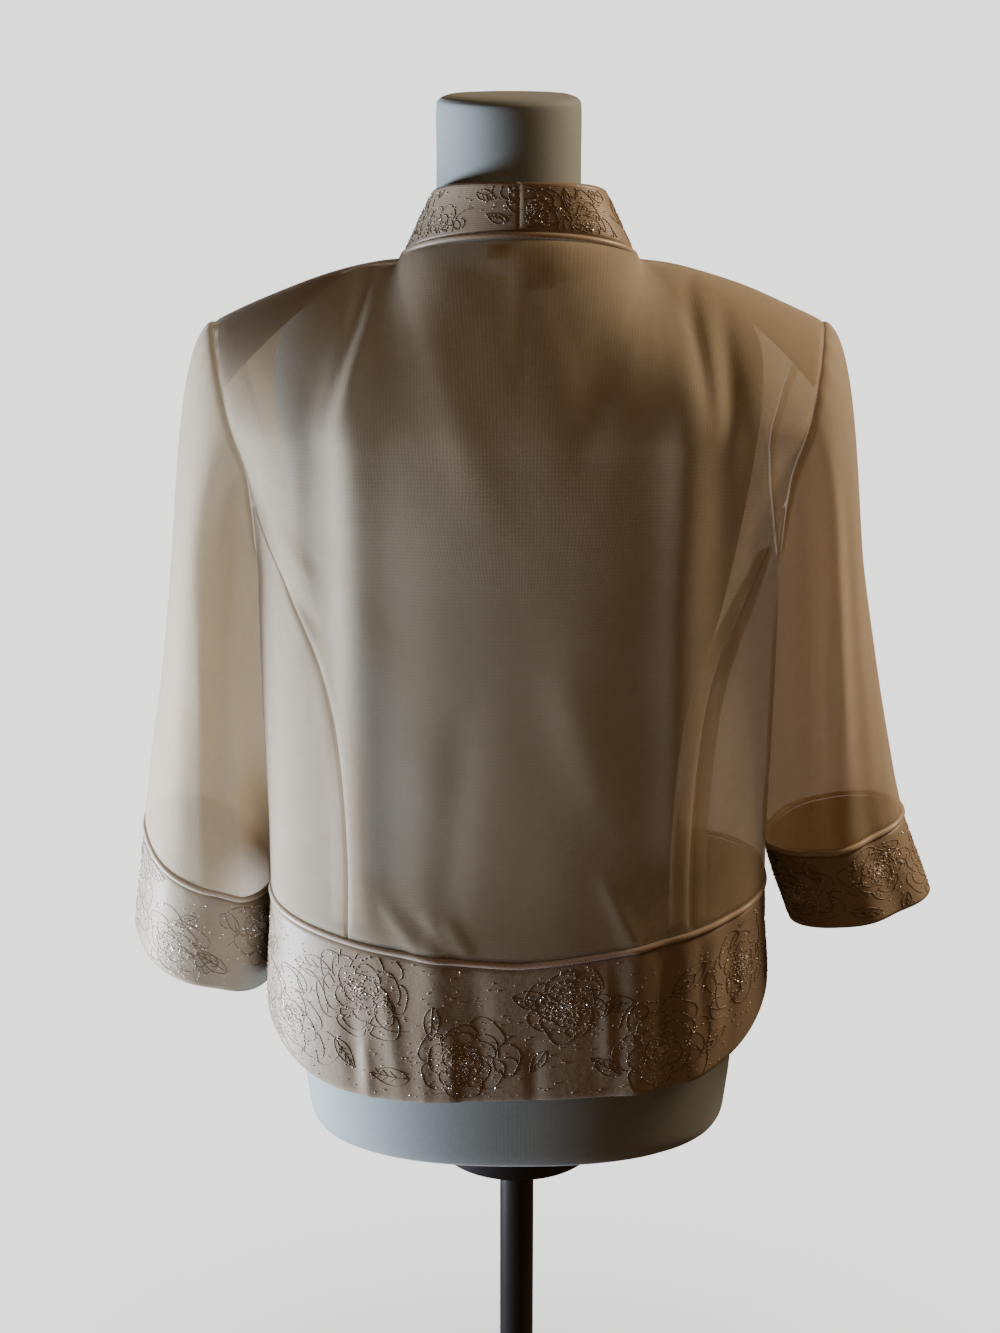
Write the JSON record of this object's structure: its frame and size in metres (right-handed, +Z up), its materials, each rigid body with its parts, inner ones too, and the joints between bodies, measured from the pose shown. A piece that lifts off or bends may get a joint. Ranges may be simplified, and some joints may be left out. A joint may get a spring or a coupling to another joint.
{
  "type": "bolero jacket on dress form",
  "caption": "Cropped sheer evening jacket with satin collar, cuffs and hem band, on a limbless dress form with a pole stand.",
  "frame": {"origin": "centre of the stand base's underside", "axes": "+Z up; +Y the way the jacket's front faces, so its back faces -Y; +X the wearer's right side"},
  "size_m": [0.6045, 0.3, 1.119],
  "materials": {
    "georgette": "sheer matt beige georgette",
    "embroidered_satin": "satin with dark line embroidery and glitter",
    "satin_piping": "glossy satin cord",
    "pad_wadding": "matt covered wadding",
    "label": "blank dark woven tape",
    "form_cover": "pale stretched jersey",
    "stand_steel": "satin black enamel"
  },
  "bodies": {
    "root": {"back_centre": "georgette", "back_side_left": "georgette", "back_side_right": "georgette", "front_left": "georgette", "front_right": "georgette", "sleeve_left": "georgette", "sleeve_right": "georgette", "cuff_left": "embroidered_satin", "cuff_right": "embroidered_satin", "hem_band_back": "embroidered_satin", "hem_band_front_left": "embroidered_satin", "hem_band_front_right": "embroidered_satin", "collar_left": "embroidered_satin", "collar_right": "embroidered_satin", "collar_piping": "satin_piping", "hem_piping": "satin_piping", "cuff_piping_left": "satin_piping", "cuff_piping_right": "satin_piping", "shoulder_pad_left": "pad_wadding", "shoulder_pad_right": "pad_wadding", "neck_label": "label", "size_tab": "label", "dress_form": "form_cover", "stand_flange": "stand_steel", "stand_pole": "stand_steel", "stand_base": "stand_steel"}
  },
  "joints": []
}
